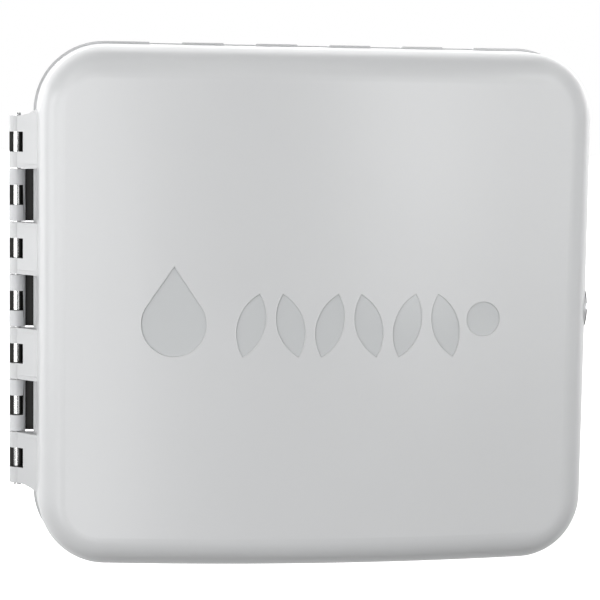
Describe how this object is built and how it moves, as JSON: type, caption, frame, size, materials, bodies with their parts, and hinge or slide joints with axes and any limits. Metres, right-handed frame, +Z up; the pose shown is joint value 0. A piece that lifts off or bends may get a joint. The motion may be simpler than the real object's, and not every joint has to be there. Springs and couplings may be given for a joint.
{
  "type": "irrigation controller",
  "caption": "Wall-mounted irrigation controller: moulded box with a lockable hinged lid, an inner swing panel with dial, screen and buttons, plug-in station modules and a transformer.",
  "frame": {"origin": "middle of the case's back face, which lies on the wall", "axes": "+X to the right seen from the front, +Y into the wall, +Z up; the lid faces -Y"},
  "size_m": [0.251, 0.109, 0.224],
  "materials": {
    "button_plastic": "moulded, satin",
    "dark_plastic": "moulded, matt",
    "zinc_screw": "zinc-plated",
    "case_plastic": "moulded, fine matt texture",
    "bare_steel": "drawn stainless rod and stampings",
    "dial_plastic": "moulded, satin",
    "pack_rear_plastic": "moulded, matt",
    "circuit_board": "solder mask over glass laminate",
    "pack_plastic": "moulded, fine matt texture",
    "terminal_plastic": "moulded, matt",
    "panel_plastic": "moulded, matt",
    "lid_plastic": "moulded, light satin gloss",
    "lock_chrome": "nickel-plated die casting",
    "slide_plastic": "moulded",
    "card_paper": "printed film",
    "lcd": "polarizer film over glass",
    "screen_window": "clear polycarbonate",
    "module_plastic": "moulded, fine matt texture",
    "bobbin_nylon": "natural nylon",
    "laminations": "varnished steel sheets",
    "winding_tape": "polyester tape"
  },
  "bodies": {
    "case": {"case": "case_plastic", "conduit_plug": "case_plastic", "junction_cover": "panel_plastic", "junction_cover_screw": "zinc_screw", "mains_terminal_strip": "dark_plastic", "transformer_core": "laminations", "transformer_winding": "winding_tape", "transformer_bobbin": "bobbin_nylon", "transformer_strap": "bare_steel", "transformer_screws": "zinc_screw", "terminal_board": "circuit_board", "board_screws": "zinc_screw", "field_terminal_strip": "terminal_plastic", "board_ribbon_header": "dark_plastic", "module_dock": "dark_plastic", "station_module_1": "module_plastic", "station_module_2": "module_plastic", "station_module_3": "module_plastic", "hinge_pin": "bare_steel"},
    "lid": {"lid": "lid_plastic", "schedule_card": "card_paper", "lock_housing": "lock_chrome", "lock_nut": "lock_chrome"},
    "lock": {"lock_plug": "lock_chrome", "lock_cam": "bare_steel", "lock_cam_screw": "zinc_screw"},
    "swing_panel": {"panel_frame": "panel_plastic", "face_pack_housing": "pack_plastic", "screen_window": "screen_window", "screen_glass": "lcd", "face_pack_board": "circuit_board", "rotary_switch": "dark_plastic", "tact_switches": "dark_plastic", "slide_switch": "dark_plastic", "face_pack_back": "pack_rear_plastic", "face_pack_screws": "zinc_screw", "battery_holder": "dark_plastic", "coin_battery": "bare_steel", "pack_ribbon_header": "dark_plastic", "reset_switch": "dark_plastic"},
    "dial": {"dial_knob": "dial_plastic", "dial_shaft": "button_plastic"},
    "bypass_switch": {"bypass_switch_knob": "button_plastic"},
    "reset": {"reset_button": "slide_plastic"},
    "module_lock": {"module_lock_slide": "slide_plastic"},
    "back_button": {"back_button": "button_plastic"},
    "next_button": {"next_button": "button_plastic"},
    "minus_button": {"minus_button": "button_plastic"},
    "plus_button": {"plus_button": "button_plastic"},
    "program_button": {"program_button": "button_plastic"}
  },
  "joints": [
    {"name": "lid_hinge", "type": "hinge", "parent": "case", "child": "lid", "pos_m": [-0.12725, -0.0605, 0], "axis": [0, 0, -1], "range_deg": [0, 165]},
    {"name": "lock_turn", "type": "hinge", "parent": "lid", "child": "lock", "pos_m": [0.107, -0.082, 0], "axis": [1, 0, 0], "range_deg": [0, 90]},
    {"name": "panel_swing", "type": "hinge", "parent": "case", "child": "swing_panel", "pos_m": [-0.1075, -0.0765, 0], "axis": [0, 0, -1], "range_deg": [0, 110]},
    {"name": "dial_turn", "type": "hinge", "parent": "swing_panel", "child": "dial", "pos_m": [0.052, -0.085, 0.016], "axis": [0, 1, 0], "continuous": true},
    {"name": "bypass_slide", "type": "slide", "parent": "swing_panel", "child": "bypass_switch", "axis": [1, 0, 0], "range_m": [0, 0.005]},
    {"name": "reset_press", "type": "slide", "parent": "swing_panel", "child": "reset", "axis": [0, -1, 0], "range_m": [0, 0.0008], "stiffness_N_per_m": 300},
    {"name": "module_lock_slide_joint", "type": "slide", "parent": "case", "child": "module_lock", "axis": [1, 0, 0], "range_m": [0, 0.006]},
    {"name": "back_button_press", "type": "slide", "parent": "swing_panel", "child": "back_button", "axis": [0, 1, 0], "range_m": [0, 0.0012], "stiffness_N_per_m": 250},
    {"name": "next_button_press", "type": "slide", "parent": "swing_panel", "child": "next_button", "axis": [0, 1, 0], "range_m": [0, 0.0012], "stiffness_N_per_m": 250},
    {"name": "minus_button_press", "type": "slide", "parent": "swing_panel", "child": "minus_button", "axis": [0, 1, 0], "range_m": [0, 0.0012], "stiffness_N_per_m": 250},
    {"name": "plus_button_press", "type": "slide", "parent": "swing_panel", "child": "plus_button", "axis": [0, 1, 0], "range_m": [0, 0.0012], "stiffness_N_per_m": 250},
    {"name": "program_button_press", "type": "slide", "parent": "swing_panel", "child": "program_button", "axis": [0, 1, 0], "range_m": [0, 0.0012], "stiffness_N_per_m": 250}
  ],
  "couplings": [
    {"joint": "panel_swing", "follows": "lid_hinge", "ratio": 0.6667}
  ]
}
